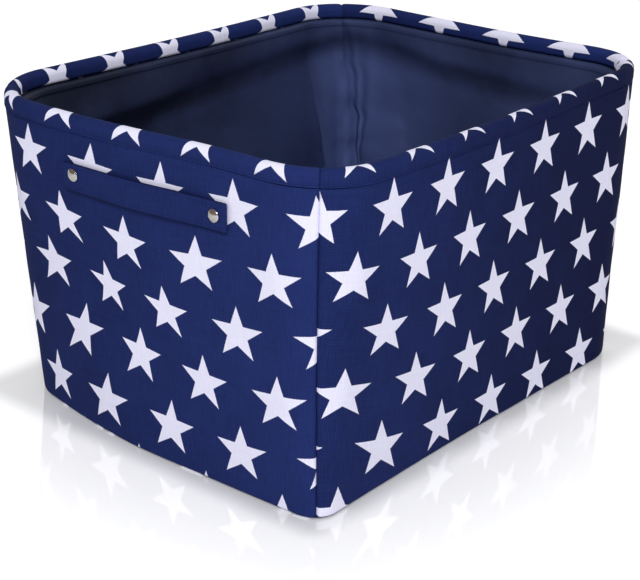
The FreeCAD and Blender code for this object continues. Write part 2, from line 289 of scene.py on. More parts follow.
def pulled(points):
    """Carry points of the even outline to where this bin's own outline runs."""
    share = share_up(points[..., 2])
    reach = [HALF_RIM[i] - LEAN[i] * (1 - share) for i in (0, 1)]
    place = [np.clip(points[..., i] / reach[i], -1, 1) for i in (0, 1)]
    moved = points.copy()
    for corner, signs in enumerate(((-1, -1), (1, -1), (1, 1), (-1, 1))):
        weight = (np.maximum(signs[0] * place[0], 0) * np.maximum(signs[1] * place[1], 0)) ** 1.5
        for i in (0, 1):
            moved[..., i] += weight * (BASE_PULL[corner][i] * (1 - share) + RIM_PULL[corner][i] * share)
    for number, (axis, sign) in enumerate(((1, -1), (0, 1), (1, 1), (0, -1))):
        near = np.maximum(sign * place[axis], 0) ** 1.5
        along = place[1 - axis]
        bow = BASE_BOW[number] * (1 - share) + RIM_BOW[number] * share
        bow += 2.6 * along * RIM_SWING[number] * share  # 2.6 brings an S's largest offset to the one given
        moved[..., axis] += sign * near * (1 - along ** 2) * bow
    return moved


def wall(side, station, z, inset, plain=False):
    """Points of one wall. A station runs from 0 at the first seam through the first corner arc (to 1),
    the straight run (to 2) and the last corner arc (to 3); inset counts inward from the canvas."""
    station, z, inset = np.broadcast_arrays(np.asarray(station, float), np.asarray(z, float), inset)
    run, whole = run_from_seam(side, station, z)
    to_seam = np.minimum(run, whole - run)
    inset = inset + edge_inset(z)
    if not plain:
        inset = inset + SEAM_DEPTH * np.exp(-to_seam / SEAM_WIDTH) - relief(side, run, z)
    half_run, out = half_sizes(side, z)
    half_run, out = half_run - inset, out - inset
    first, last = (np.maximum(radius - inset, 0.001) for radius in corner_radii(side, z))
    left, right = station_angles(station)
    x = -half_run + first + (2 * half_run - first - last) * np.clip(station - 1, 0, 1)
    x = x - first * np.sin(left) + last * np.sin(right)
    y = -out + first * (1 - np.cos(left)) + last * (1 - np.cos(right))
    x, y = turned(x, y, side)
    return pulled(np.stack([x, y, z], axis=-1))


def station_at(side, across, z):
    """The station on a side's straight run that lies a distance from the side's middle."""
    half_run = half_sizes(side, z)[0]
    first, last = corner_radii(side, z)
    return 1 + (across + half_run - first) / (2 * half_run - first - last)


def off_wall(side, across, z, out):
    """Points that stand a distance out of a wall, square to it."""
    across, z, out = np.broadcast_arrays(np.asarray(across, float), np.asarray(z, float), out)

    def on(step_across, step_up):
        height = z + step_up
        return wall(side, station_at(side, across + step_across, height), height, 0.0, plain=True)

    step = 0.001
    normal = np.cross(on(step, 0.0) - on(-step, 0.0), on(0.0, step) - on(0.0, -step))
    normal /= np.linalg.norm(normal, axis=-1, keepdims=True)
    return on(0.0, 0.0) + normal * out[..., None]


def panel_stations(ends=0.0):
    """Stations of a panel's columns, close together near the seams."""
    turn = np.array([0, .012, .03, .055, .085, .12, .17, .23, .30, .38, .46, .55, .64, .73, .82, .91])
    turn = ends + (1 - ends) * turn
    straight = 1 + np.arange(61) / 60
    return np.concatenate([turn, straight, (3 - turn)[::-1]])


def wall_heights(bottom, top):
    """Heights of a panel's rows: round the soft edge, then even."""
    turn = [EDGE_RADIUS * (1 - math.cos(math.radians(angle))) for angle in range(30, 91, 8)]
    turn = [z for z in turn if z > bottom + 0.0002]
    rows = np.linspace(EDGE_RADIUS + 0.002, top, 52)
    return np.concatenate([[bottom], turn, rows])


# ---- meshes

def arc(x, y, radius, start, end, steps):
    """Points of an arc round (x, y) between two angles in degrees."""
    angles = np.radians(np.linspace(start, end, steps))
    return [(x + radius * math.cos(angle), y + radius * math.sin(angle)) for angle in angles]


def circle(middle, aside, up, radius, count):
    """Points of a circle, from two directions square to its axis."""
    angles = np.arange(count) * (2 * math.pi / count)
    return [middle + aside * (radius * math.cos(angle)) + up * (radius * math.sin(angle)) for angle in angles]


def add_to_scene(name, data):
    made = bpy.data.objects.new(name, data)
    bpy.context.scene.collection.objects.link(made)
    return made


def new_piece(name, points, faces, uvs=None):
    """A smooth mesh object; uvs holds one pair per corner of every face, in the order of the faces."""
    mesh = bpy.data.meshes.new(name)
    mesh.from_pydata([tuple(point) for point in points], [], faces)
    if uvs is not None:
        layer = mesh.uv_layers.new(name="cloth")
        layer.data.foreach_set("uv", np.asarray(uvs, np.float32).ravel())
    mesh.polygons.foreach_set("use_smooth", [True] * len(mesh.polygons))
    mesh.update()
    return add_to_scene(name, mesh)


def clean_up(piece):
    """Merge the points that meet in one place and drop the faces that this leaves empty."""
    work = bmesh.new()
    work.from_mesh(piece.data)
    bmesh.ops.remove_doubles(work, verts=work.verts, dist=1e-6)
    bmesh.ops.dissolve_degenerate(work, edges=work.edges, dist=1e-6)
    bmesh.ops.recalc_face_normals(work, faces=work.faces)
    work.to_mesh(piece.data)
    work.free()


def ring_faces(rings, size, start=0):
    """Faces between closed rings of points that follow each other."""
    faces = []
    for low in range(start, start + (rings - 1) * size, size):
        for i in range(size):
            j = (i + 1) % size
            faces.append((low + i, low + size + i, low + size + j, low + j))
    return faces


def capped_faces(rings, size, start=0):
    """The same, closed at both ends."""
    end = start + rings * size
    caps = [tuple(range(start, start + size)), tuple(range(end - size, end))[::-1]]
    return ring_faces(rings, size, start) + caps


def shell(name, outer, inner, cloth, closed=False):
    """A closed sheet between two grids of points, which run along it and then across it. closed: it meets
    itself across, where cloth has one more point, because the print does not."""
    length, width = outer.shape[:2]
    faces, uvs = [], []

    def add(*corners):
        """A face from corners that each give the layer, the place along and the place across."""
        faces.append(tuple((layer * length + a) * width + b % width for layer, a, b in corners))
        uvs.extend(cloth[a, b] for _, a, b in corners)

    end, edge = length - 1, width - 1
    for b in range(width if closed else edge):
        for a in range(end):
            add((0, a, b), (0, a + 1, b), (0, a + 1, b + 1), (0, a, b + 1))
            add((1, a, b), (1, a, b + 1), (1, a + 1, b + 1), (1, a + 1, b))
        add((0, 0, b), (0, 0, b + 1), (1, 0, b + 1), (1, 0, b))
        add((0, end, b + 1), (0, end, b), (1, end, b), (1, end, b + 1))
    if not closed:
        for a in range(end):
            add((0, a + 1, 0), (0, a, 0), (1, a, 0), (1, a + 1, 0))
            add((0, a, edge), (0, a + 1, edge), (1, a + 1, edge), (1, a, edge))
    return new_piece(name, [*outer.reshape(-1, 3), *inner.reshape(-1, 3)], faces, uvs)


def rod(name, rings, cloth=None, backward=False):
    """A solid rod through rings of points, with a pair of cloth coordinates per point if it is cloth.
    backward: the rings follow each other against the turn of their points."""
    faces = [face[::-1] if backward else face for face in capped_faces(*rings.shape[:2])]
    uvs = None if cloth is None else [cloth.reshape(-1, 2)[i] for face in faces for i in face]
    return new_piece(name, rings.reshape(-1, 3), faces, uvs)


def finish_piece(piece, material, body, slot, *nodes):
    """Material and replaced nodes of a piece, and its body, if one is given. slot: not used."""
    piece.data.materials.append(material)
    if body:
        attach(piece, body)
    if nodes:
        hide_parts(*nodes)


# ---- materials

class Value:
    """An output of a node, with the usual arithmetic."""

    def __init__(self, nodes, socket):
        self.nodes = nodes
        self.socket = socket

    def math(self, operation, *others):
        return self.nodes.math(operation, self, *others)

    __add__ = partialmethod(math, "ADD")
    __sub__ = partialmethod(math, "SUBTRACT")
    __mul__ = partialmethod(math, "MULTIPLY")
    __truediv__ = partialmethod(math, "DIVIDE")
    __pow__ = partialmethod(math, "POWER")
    __abs__ = partialmethod(math, "ABSOLUTE")

    def __rsub__(self, number):
        return self.nodes.math("SUBTRACT", number, self)

    def clamped(self):
        """The same sum, held between 0 and 1."""
        self.socket.node.use_clamp = True
        return self

    def ramp(self, low, high, to_low=0.0, to_high=1.0, kind="LINEAR"):
        inputs = {"Value": self, "From Min": low, "From Max": high, "To Min": to_low, "To Max": to_high}
        return self.nodes.value("ShaderNodeMapRange", inputs, interpolation_type=kind)

    def ease(self, *limits):
        return self.ramp(*limits, kind="SMOOTHSTEP")

    def streak(self, to_low, to_high):
        """A noise, whose values crowd round the middle, spread over a range."""
        return self.ramp(0.3, 0.7, to_low, to_high)

    def blend(self, first, second):
        inputs = {"Factor": self, 6: first, 7: second}
        return self.nodes.value("ShaderNodeMix", inputs, 2, data_type="RGBA")

    def mix(self, first, second):
        return self.nodes.value("ShaderNodeMixShader", {0: self, 1: first, 2: second})


class Nodes:
    """A node tree, with short ways to add to it."""

    def __init__(self, tree):
        self.tree = tree

    def put(self, socket, value):
        if isinstance(value, Value):
            self.tree.links.new(value.socket, socket)
        else:
            socket.default_value = value

    def node(self, kind, inputs=(), **settings):
        made = self.tree.nodes.new(kind)
        for key, value in settings.items():
            setattr(made, key, value)
        for key, value in dict(inputs).items():
            self.put(made.inputs[key], value)
        return made

    def value(self, kind, inputs=(), output=0, **settings):
        return Value(self, self.node(kind, inputs, **settings).outputs[output])

    def math(self, operation, *values):
        return self.value("ShaderNodeMath", dict(enumerate(values)), operation=operation)

    def vector(self, x, y, z=0.0):
        return self.value("ShaderNodeCombineXYZ", {0: x, 1: y, 2: z})

    def split(self, vector):
        return [Value(self, part) for part in self.node("ShaderNodeSeparateXYZ", {0: vector}).outputs]


class Shader(Nodes):
    """One material and its node tree."""

    def __init__(self, name, **uniform):
        self.material = bpy.data.materials.new(name)
        self.material.use_nodes = True
        super().__init__(self.material.node_tree)
        self.surface = self.tree.nodes["Principled BSDF"]
        for socket, value in uniform.items():
            self.set(socket.replace("_", " "), value)

    def set(self, socket, value):
        self.put(self.surface.inputs[socket], value)

    def position(self):
        return self.split(self.value("ShaderNodeNewGeometry", output="Position"))

    def cloth(self):
        """The two cloth coordinates, in metres."""
        return self.split(self.value("ShaderNodeUVMap", uv_map="cloth"))[:2]

    def noise(self, place, scale, detail=2.0, roughness=0.5):
        """A noise at a place, or at coordinates in the cloth."""
        place = self.vector(*place) if isinstance(place, tuple) else place
        inputs = {"Vector": place, "Scale": scale, "Detail": detail, "Roughness": roughness}
        return self.value("ShaderNodeTexNoise", inputs, "Fac")

    def bump(self, height, distance, strength=1.0):
        inputs = {"Height": height, "Distance": distance, "Strength": strength}
        self.set("Normal", self.value("ShaderNodeBump", inputs))


def weave(shader, u, v, pitch):
    """Height of a plain weave, how much each thread catches the light, and which thread lies on top."""
    crossing = (u * (math.pi / pitch)).math("SINE") * (v * (math.pi / pitch)).math("SINE")
    upright = shader.noise((u, v * 0.06), 1.1 / pitch, 2.0, 0.6)
    level = shader.noise((u * 0.06, v, 0.7), 1.1 / pitch, 2.0, 0.6)
    return abs(crossing) ** 0.6, upright * 0.6 + level * 0.4, crossing


def star_field(u, v):
    """Signed distance to the nearest star of the print, negative inside."""
    row = (v / STAR_ROW).math("ROUND")
    down = v - row * STAR_ROW
    column = u / STAR_PITCH - (row * 0.5).math("FRACT")
    aside = (column - column.math("ROUND")) * STAR_PITCH
    folded = abs(aside.math("ARCTAN2", down)).math("PINGPONG", math.pi / 5)
    reach = (aside * aside + down * down).math("SQRT")
    from_tip = reach * folded.math("COSINE") - STAR_RADIUS
    off_axis = reach * folded.math("SINE")
    inner = STAR_RADIUS * STAR_WAIST
    edge_x = STAR_RADIUS - inner * math.cos(math.pi / 5)
    edge_y = inner * math.sin(math.pi / 5)
    length = math.hypot(edge_x, edge_y)
    return from_tip * (edge_y / length) + off_axis * (edge_x / length)


NAVY_DEEP = srgb(15, 22, 58)
NAVY_THREAD = srgb(37, 52, 112)
STAR_WHITE = srgb(240, 239, 255)
STAR_SHADE = srgb(216, 215, 244)
CANVAS_FINISH = {"Roughness": 0.82, "Specular_IOR_Level": 0.06}
WEAVE_BUMP = (0.00022, 0.55)


def canvas_colour(shader, u, v, fade):
    """Colour of the woven navy canvas, with its weave. fade: how much paler the cloth is at u = 0
    and 0.3 m on; on the printed panels that is painted light and shade."""
    height, streaks, crossing = weave(shader, u, v, WEAVE_PITCH)
    patches = shader.noise((u, v), 22.0, 3.0)
    # The weave's height makes thread crowns paler and the gaps between threads darker: partly painted shade
    # of the weave.
    tone = height * 0.62 + streaks.streak(-0.07, 0.30) + crossing.ramp(-0.4, 0.4, -0.08, 0.08)
    # The ramp in u is painted light on the printed panels: paler near the seam where the print starts,
    # painted shade toward the far end. On the straps it is an even lift of tone.
    tone = tone + patches.streak(-0.07, 0.07) + u.ramp(0.0, 0.30, *fade)
    return tone.clamped().blend(NAVY_DEEP, NAVY_THREAD), height, streaks


def printed_canvas(name, fade):
    shader = Shader(name, **CANVAS_FINISH)
    u, v = shader.cloth()
    navy, height, streaks = canvas_colour(shader, u, v, fade)
    ragged = shader.noise((u, v), 1500.0, 2.0)
    distance = star_field(u, v) + ragged.ramp(0.2, 0.8, -0.00022, 0.00022)
    ink = distance.ramp(0.00018, -0.00018)
    crack = shader.noise((u, v * 0.45), 420.0, 4.0, 0.7)
    # The ink is paler on thread crowns and darker between threads, painted shade of the weave, and darker in
    # its cracks.
    thread = height * 0.45 + streaks.streak(0.1, 0.6)
    ink_cracks_and_weave_shade = (thread - crack.ramp(0.70, 0.76) * 0.9).clamped()
    shader.set("Base Color", ink.blend(navy, ink_cracks_and_weave_shade.blend(STAR_SHADE, STAR_WHITE)))
    shader.bump(height + ink * 0.25, *WEAVE_BUMP)
    return shader.material


def plain_canvas():
    """The straps' canvas, with painted shadow and shade at their edges."""
    shader = Shader("plain_canvas", **CANVAS_FINISH)
    u, v = shader.cloth()
    navy, height, _ = canvas_colour(shader, u, v, (0.10, 0.10))
    half = STRAP_HEIGHT / 2
    # Painted shadow: the lower edge darkened toward near black stands for the strap's shadow on the wall;
    # painted shade, half as strong, along the upper edge.
    lower = v.ramp(-half + 0.0014, -half + 0.0002, 0.0, 0.85)
    edge = lower.math("MAXIMUM", v.ramp(half - 0.0008, half - 0.0002, 0.0, 0.5))
    shader.set("Base Color", edge.blend(navy, srgb(5, 8, 24)))
    shader.bump(height, *WEAVE_BUMP)
    return shader.material


def satin():
    """The lining: a soft sheen, with painted light and shade in its colour: a painted sheen toward the
    corners, painted shade in the fold and just below the hem, and paler toward +X."""
    shader = Shader("lining_satin", Roughness=0.58, Specular_IOR_Level=0.6, Specular_Tint=srgb(170, 190, 255))
    u, v = shader.cloth()
    place = shader.position()
    inside = [HALF_RIM[i] - 0.014 - abs(place[i]) for i in (0, 1)]
    from_corner = (inside[0] * 2.8).math("MAXIMUM", inside[1])
    patches = shader.noise((u, v), 14.0, 4.0, 0.55)
    height, streaks, _ = weave(shader, u, v, 0.0006)
    # Painted sheen, stronger toward the corners and weaker right under the hem; painted shade along the fold.
    painted_corner_sheen = from_corner.ease(0.16, 0.01, 0.0, 0.50) * v.ease(0.225, 0.185, 0.2, 1.0)
    above = v + u.math("MINIMUM", FOLD_REACH) * FOLD_FALL - FOLD_TOP
    painted_fold_shade = above.ease(-0.024, -0.008) * above.ease(0.008, -0.004)
    tone = patches.streak(0.16, 0.36) + streaks.streak(-0.06, 0.06) + painted_corner_sheen - painted_fold_shade * 0.20
    # Painted shade just below the hem; painted light and shade across the bin, paler toward +X and darker
    # toward -X.
    tone = tone - v.ramp(0.205, 0.230, 0.0, 0.10) + place[0].ramp(-0.17, 0.18, -0.22, 0.12)
    shader.set("Base Color", tone.clamped().blend(srgb(8, 11, 24), srgb(76, 90, 142)))
    crease = shader.noise((u, v), 60.0, 5.0, 0.6)
    shader.bump(crease + height * 0.06, 0.0008, 0.3)
    return shader.material


def grained(name, low, high, grains, bump=None, gloss=None, **finish):
    """Felt, board, bare metal or thread. grains: share, scale, detail and roughness of its fine and broad
    marks; gloss: the roughness of a metal, which varies with the broad ones."""
    shader = Shader(name, **finish)
    place = shader.value("ShaderNodeTexCoord", output="Object")
    noises = [shader.noise(place, *settings) for _, *settings in grains]
    tone = noises[0] * grains[0][0]
    for noise, (share, *_) in zip(noises[1:], grains[1:]):
        tone = tone + noise * share
    shader.set("Base Color", tone.blend(low, high))
    if bump:
        shader.bump(noises[0], *bump)
    if gloss:
        shader.set("Roughness", noises[-1].streak(gloss * 0.8, gloss * 1.3))
    return shader.material


# ---- wall plies

def print_place(side, station, z, length=None):
    """Cloth coordinates of points of a panel, from a star of its first row. length is the length of cloth
    up to a point, where that is more than its height."""
    run, whole = run_from_seam(side, station, z)
    if side == "left":
        run = whole - run
    lay = PRINT[side]
    below = 1 - np.clip(share_up(z), 0, 1)
    values = (run * lay.get("pace", 1.0), z if length is None else length)
    places = []
    for i in (0, 1):
        lean, seam, fan = (lay.get(key, (0.0, 0.0))[i] for key in ("lean", "seam", "fan"))
        moved = lay["start"][i] + (lean + seam * bell(run, SEAM_REACH) + fan * run / FAN_LENGTH) * below
        for place, height, reach, *amounts in lay.get("shifts", ()):
            moved = moved + amounts[i] * bell(np.hypot(run - place, z - height), reach)
        places.append(values[i] - moved)
    return np.stack(places, axis=-1)


def finish_panel(piece, side, material, slot, node, height, rests_on):
    """One ply of a wall: its material, its body and the model node that it replaces, and a mesh of its own.
    """
    finish_piece(piece, material, "base", slot, node + "_" + side)
    joint = next(j for j in frame["joints"] if j["name"] == "rim_collapse")
    travel = -min(joint["range_m"])
    1 - travel / WALL_TOP
    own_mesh(piece)
    run = [run_from_seam(side, 0.0, z)[1] for z in (0.0, HEIGHT)]
    sum(run) / 2 * height


def flat_ply(name, node, side, material, slot, top, ends, inset, thickness, rests_on):
    """A wall's canvas or its stiffener. ends: how far it ends before the corner seams, in stations."""
    station, z = np.meshgrid(panel_stations(ends), wall_heights(WALL_BOTTOM, top), indexing="ij")
    outer, inner = (wall(side, station, z, inset + depth) for depth in (0.0, thickness))
    piece = shell(name + side, outer, inner, print_place(side, station, z))
    finish_panel(piece, side, material, slot, node, WALL_TOP - WALL_BOTTOM, rests_on)


def lining_run(side, run, whole):
    """Length of lining from the side's far or near corner."""
    return run if side in ("front", "back") else whole - run


def folds(side, run, whole, z):
    """How far the lining stands in from the stiffener: it hangs from the inside of the hem, steps back below
    a fold that sinks away from the far corner, billows lower down and puckers at the seams."""
    phase = 2.1 * SIDES.index(side)
    from_corner = lining_run(side, run, whole)
    to_seam = np.minimum(run, whole - run)
    slack = np.sin(math.pi * np.clip(z / WALL_TOP, 0, 1)) ** 0.7
    free = 1 - np.exp(-to_seam / 0.012)
    wander = 0.004 * np.sin(23 * from_corner + phase) + 0.002 * np.sin(61 * from_corner + 2 * phase)
    fold_height = FOLD_TOP - FOLD_FALL * np.minimum(from_corner, FOLD_REACH) + wander * free
    hang = 0.0052 * rise(z, fold_height, 0.0065) + 0.0022 * rise(z, 0.166, 0.020)
    hang = hang + 0.0007 * rise(z, LEDGE, 0.0005)
    hang = hang - TUCK * np.clip((z - WALL_TOP + TUCK_HEIGHT) / TUCK_HEIGHT, 0, 1)
    billow = 0.0110 * bell(z - 0.100, 0.060) * (1 - np.exp(-to_seam / 0.03))
    broad = 0.0026 * swing(21 * from_corner + 11 * z + phase)
    slanted = 0.0026 * swing(13 * from_corner + 52 * z + 1.3 * phase)
    puckers = 0.0026 * swing(190 * z + 4 * np.sin(37 * z + phase) - 60 * to_seam)
    loose = (broad + slanted + puckers * np.exp(-to_seam / 0.020)) * free
    sewn = (0.0018 + 0.0010 * np.sin(160 * z)) * (1 - free)
    swell = 0.0036 * bell(to_seam - 0.007, 0.004) + 0.0060 * bell(to_seam - 0.026, 0.014)
    return hang + billow + (loose + sewn + swell) * slack


def seam_wander(side, z):
    """How far the lining's seam has strayed round the corner from the canvas's, in stations."""
    drop = np.clip((WALL_TOP - z) / WALL_TOP, 0, 1)
    jagged = 0.035 * np.sin(150 * z) + 0.025 * np.sin(310 * z + 1.0)
    stray = SEAM_STRAY.get(side, 0.0) * drop ** 0.8 + jagged * np.sin(math.pi * drop)
    return stray * np.clip((z - LINING_BOTTOM) / 0.010, 0, 1)


def lining_points(side, station, z, inset):
    """Points of the lining; a station below 0 lies on the side before."""
    here = wall(side, np.maximum(station, 0), z, inset)
    before = SIDES[SIDES.index(side) - 1]
    there = wall(before, np.minimum(3 + station, 3), z, inset)
    return np.where((station < 0)[..., None], there, here)


def lining_panel(side, material):
    ledge = LEDGE + np.array([-0.0030, -0.0012, -0.0005, 0.0, 0.0005, 0.0012, 0.0030, 0.0048, 0.0058])
    heights = np.concatenate([wall_heights(LINING_BOTTOM, WALL_TOP - 0.0110), ledge])
    station, z = np.meshgrid(panel_stations(), heights, indexing="ij")
    run, whole = run_from_seam(side, station, z)
    following = SIDES[(SIDES.index(side) + 1) % 4]
    near_first = np.clip(1 - station / 1.5, 0, 1)
    near_last = np.clip(1 - (3 - station) / 1.5, 0, 1)
    moved = station - near_first * seam_wander(side, z) - near_last * seam_wander(following, z)
    inset = LINING_INSET + folds(side, run, whole, z)
    outer, inner = (lining_points(side, moved, z, inset + depth) for depth in (0.0, LINING))
    cloth = np.stack([lining_run(side, run, whole), z], axis=-1)
    piece = shell("lining_satin_" + side, outer, inner, cloth)
    height = WALL_TOP - LINING_BOTTOM
    finish_panel(piece, side, material, "lining", "lining", height, "hem_" + side + "_canvas")


# ---- rim

def roll_profile(inset):
    """The roll's section as (depth from the outside, height above its bottom), from its outer bottom corner
    up over the stitch line, over to the inside and back along the bottom."""
    turns = (
        (0, 0, HEM_OUTER_RADIUS, -90, -180, ROLL_START),
        (0, 1, HEM_TOP_RADIUS, 180, 90, 9),
        (1, 1, HEM_TOP_RADIUS, 90, 0, 9),
        (1, 0, HEM_INNER_RADIUS, 0, -90, 6),
    )
    points = []
    for inner, upper, radius, *angles in turns:
        radius = max(radius, inset + 0.0003)
        depth = HEM_DEPTH - radius if inner else radius
        height = HEM_HEIGHT - radius if upper else radius
        points += arc(depth, height, radius - inset, *angles)
        if len(points) == ROLL_START:
            line = max(STITCH_LINE, radius + 0.0005)
            points += [(inset, line - 0.0004), (inset + STITCH_SINK, line), (inset, line + 0.0005)]
    return np.array(points)


def round_at(angles, radius):
    """Points of a round section on the middle of the roll."""
    depth, height = HEM_DEPTH / 2 + radius * np.cos(angles), HEM_HEIGHT / 2 + radius * np.sin(angles)
    return np.stack([depth, height], axis=-1)


def rim_rings(side, stations, profile, plain=False):
    """Rings of points that carry a section along one side of the rim; profile may change with the station."""
    profile = np.broadcast_to(profile, (len(stations),) + np.shape(profile)[-2:])
    station = np.repeat(np.asarray(stations)[:, None], profile.shape[1], axis=1)
    run, whole = run_from_seam(side, station, HEIGHT)
    dip = 0 if plain else 0.5 * SEAM_DEPTH * np.exp(-np.minimum(run, whole - run) / SEAM_WIDTH)
    points = wall(side, station, np.full(station.shape, HEIGHT), profile[:, :, 0] + dip, plain=True)
    points[:, :, 2] = HEM_BOTTOM + profile[:, :, 1] - dip * (profile[:, :, 1] / HEM_HEIGHT)
    return points


def rim_tube(name, side, stations, outside, inside, cloth=None, plain=False):
    """A hollow piece along one side of the rim, between two sections."""
    outer, inner = (rim_rings(side, stations, profile, plain) for profile in (outside, inside))
    if cloth is None:
        cloth = np.zeros((len(stations), outer.shape[1] + 1, 2))
    return shell(name, outer, inner, cloth, closed=True)


def ring_lengths(profile):
    closed = np.concatenate([profile, profile[:1]])
    return np.concatenate([[0.0], np.cumsum(np.linalg.norm(np.diff(closed, axis=0), axis=1))])


def hem_piece(side, material):
    stations = panel_stations()
    profile = roll_profile(0.0)
    lengths = ring_lengths(profile)
    up_to = HEM_BOTTOM + HEM_OUTER_RADIUS + lengths - lengths[ROLL_START - 1]
    station, length = np.meshgrid(stations, up_to, indexing="ij")
    cloth = print_place(side, station, np.full(station.shape, HEIGHT), length)
    piece = rim_tube("hem_" + side + "_canvas", side, stations, profile, roll_profile(CANVAS), cloth)
    finish_piece(piece, material, "rim", "canvas", "hem_" + side)
    flat = (float(lengths[-1]), float(run_from_seam(side, 0.0, HEIGHT)[1]))


def stitch_mesh(name, stitches):
    """Thread stitches: stitches lists pairs of ends with the way out of the cloth."""
    points, faces = [], []
    places = (-0.5, -0.36, -0.15, 0.15, 0.36, 0.5)
    size = 6
    for ends in stitches:
        first, last, out = (Vector(end) for end in ends)
        along = last - first
        aside = along.cross(out).normalized()
        faces += capped_faces(len(places), size, len(points))
        for place in places:
            middle = (first + last) / 2 + along * place + out * (THREAD_RADIUS * (0.75 - 5.6 * place ** 2))
            points += circle(middle, aside, out, THREAD_RADIUS * (1.0 if abs(place) < 0.4 else 0.55), size)
    piece = new_piece(name, points, faces)
    clean_up(piece)
    return piece


def hem_stitches(side, material):
    """The row of stitches that holds the hem, in the line that it has pressed into the canvas."""
    whole = run_from_seam(side, 0.0, HEIGHT)[1]
    dense = np.linspace(0.0, 3.0, 1201)
    lengths = run_from_seam(side, dense, np.full(dense.shape, HEIGHT))[0]
    starts = STITCH_START + np.arange(int((whole - 2 * STITCH_START) / STITCH_PITCH)) * STITCH_PITCH
    profile = np.array([(STITCH_SINK, STITCH_LINE), (0.0, STITCH_LINE)])
    ends = []
    for runs in (starts, starts + STITCH_LENGTH):
        ends.append(rim_rings(side, np.interp(runs, lengths, dense), profile, plain=True))
    stitches = [(first[0], last[0], (first[1] - first[0]) / STITCH_SINK) for first, last in zip(*ends)]
    finish_piece(stitch_mesh("hem_stitches_" + side, stitches), material, "rim", "canvas")


def filling_piece(side, material):
    """The felt inside the hem, with the bore that the wire lies in."""
    stations = panel_stations(SEAM_CLEAR)
    outside = roll_profile(CANVAS + PLY_GAP)
    angles = np.arctan2(outside[:, 1] - HEM_HEIGHT / 2, outside[:, 0] - HEM_DEPTH / 2)
    bore = np.stack([round_at(angles, WIRE_BORE)] * len(stations))
    if side == "back":
        low, high = (station_at(side, end * (SLEEVE_LENGTH / 2 + SLEEVE_PLAY), HEIGHT) for end in (-1, 1))
        bore[(stations > low) & (stations < high)] = round_at(angles, SLEEVE_POCKET)
    piece = rim_tube("rim_filling_felt_" + side, side, stations, outside, bore)
    finish_piece(piece, material, "rim", "stiffener", "rim_filling_" + side)


def wire_piece(material):
    """The spring steel ring, from one end in the sleeve round the bin to the other."""
    profile = round_at(np.linspace(math.pi, -math.pi, 16, endpoint=False), WIRE_RADIUS)
    turn, straight = np.linspace(0, 1, 14), np.linspace(1, 2, 30)
    start, end = (station_at("back", place, HEIGHT) for place in (WIRE_END_GAP / 2, -WIRE_END_GAP / 2))
    legs = [("back", np.concatenate([np.linspace(start, 2, 24), 2 + turn[1:]]))]
    for side in ("left", "front", "right"):
        legs.append((side, np.concatenate([turn[1:-1], straight[:-1], 2 + turn])))
    legs.append(("back", np.concatenate([turn[1:-1], np.linspace(1, end, 24)])))
    rings = np.concatenate([rim_rings(side, stations, profile, plain=True) for side, stations in legs])
    finish_piece(rod("rim_wire_steel", rings), material, "rim", "wire", "rim_wire")


def sleeve_piece(material):
    """The crimped tube that joins the wire's two ends."""
    angles = np.linspace(math.pi, -math.pi, 20, endpoint=False)
    across = np.linspace(-SLEEVE_LENGTH / 2, SLEEVE_LENGTH / 2, 41)
    stations = station_at("back", across, HEIGHT)
    pinch = sum(bell(across - place, CRIMP_WIDTH) for place in CRIMPS)
    outside = np.stack([round_at(angles, SLEEVE_OUTER - CRIMP_DEPTH * share) for share in pinch])
    bore = round_at(angles, SLEEVE_BORE)
    piece = rim_tube("wire_sleeve_steel", "back", stations, outside, bore, plain=True)
    finish_piece(piece, material, "rim", "sleeve", "wire_sleeve")


# ---- floor

def floor_plate(name, material, slot, node, low, thickness, inset, bulge=None):
    """A flat sheet of the floor: rings of the outline, drawn in to the middle, below and above."""
    shares = np.concatenate([[1.0], np.linspace(0.985, 0.0, 26)])
    points = []
    for z in (low, low + thickness):
        outline = np.concatenate([wall(side, panel_stations()[:-1], z, inset, plain=True) for side in SIDES])
        for share in shares:
            loop = outline * (share, share, 1)
            if bulge is not None:
                loop[:, 2] += bulge(loop[:, 0], loop[:, 1])
            points.append(loop)
    size = len(outline)
    above = len(shares) * size
    faces = ring_faces(len(shares), size) + [face[::-1] for face in ring_faces(len(shares), size, above)]
    faces += [(i, (i + 1) % size, above + (i + 1) % size, above + i) for i in range(size)]
    points = np.concatenate(points)
    piece = new_piece(name, points, faces, [points[i, :2] for face in faces for i in face])
    clean_up(piece)
    finish_piece(piece, material, "base", slot, node)


def lining_waves(x, y):
    """How far the floor's lining lifts off the board."""
    from_edge = np.maximum(0, 1 - np.maximum(np.abs(x) / 0.20, np.abs(y) / 0.15))
    wave = 0.5 + 0.5 * np.sin(34 * x + 9 * np.sin(15 * y)) * np.sin(27 * y + 5 * x)
    return 0.0009 * np.minimum(1, from_edge / 0.15) * wave


# ---- handles

def strap_across(side):
    """The strap's middle along its side, in the side's own direction, where the model has it."""
    low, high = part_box(side + "_strap")
    sign = 1 if side == "right" else -1
    across = 0.0
    for _ in range(4):
        middle = wall(side, station_at(side, across, STRAP_MIDDLE), STRAP_MIDDLE, 0.0, plain=True)
        across += sign * ((low.y + high.y) / 2 - middle[1])
    return across


STRAP_ACROSS = {side: strap_across(side) for side in HANDLE_SIDES}


def on_strap(side, along, up, out):
    """Points at a distance along and up from a strap's middle, and out from the wall."""
    return off_wall(side, STRAP_ACROSS[side] + along, STRAP_MIDDLE + up, out)


def way_out(side, along, up):
    return on_strap(side, along, up, 1.0) - on_strap(side, along, up, 0.0)


def band_profile(width, thickness, radius):
    """Half widths and distances out of a flat band's rounded section, round from its lower inner corner."""
    points = []
    for w, t, start in ((-1, 0, 180), (1, 0, 270), (1, 1, 0), (-1, 1, 90)):
        centre = (w * (width / 2 - radius), radius if t == 0 else thickness - radius)
        points += arc(*centre, radius, start, start + 90, 4)
    return np.array(points)


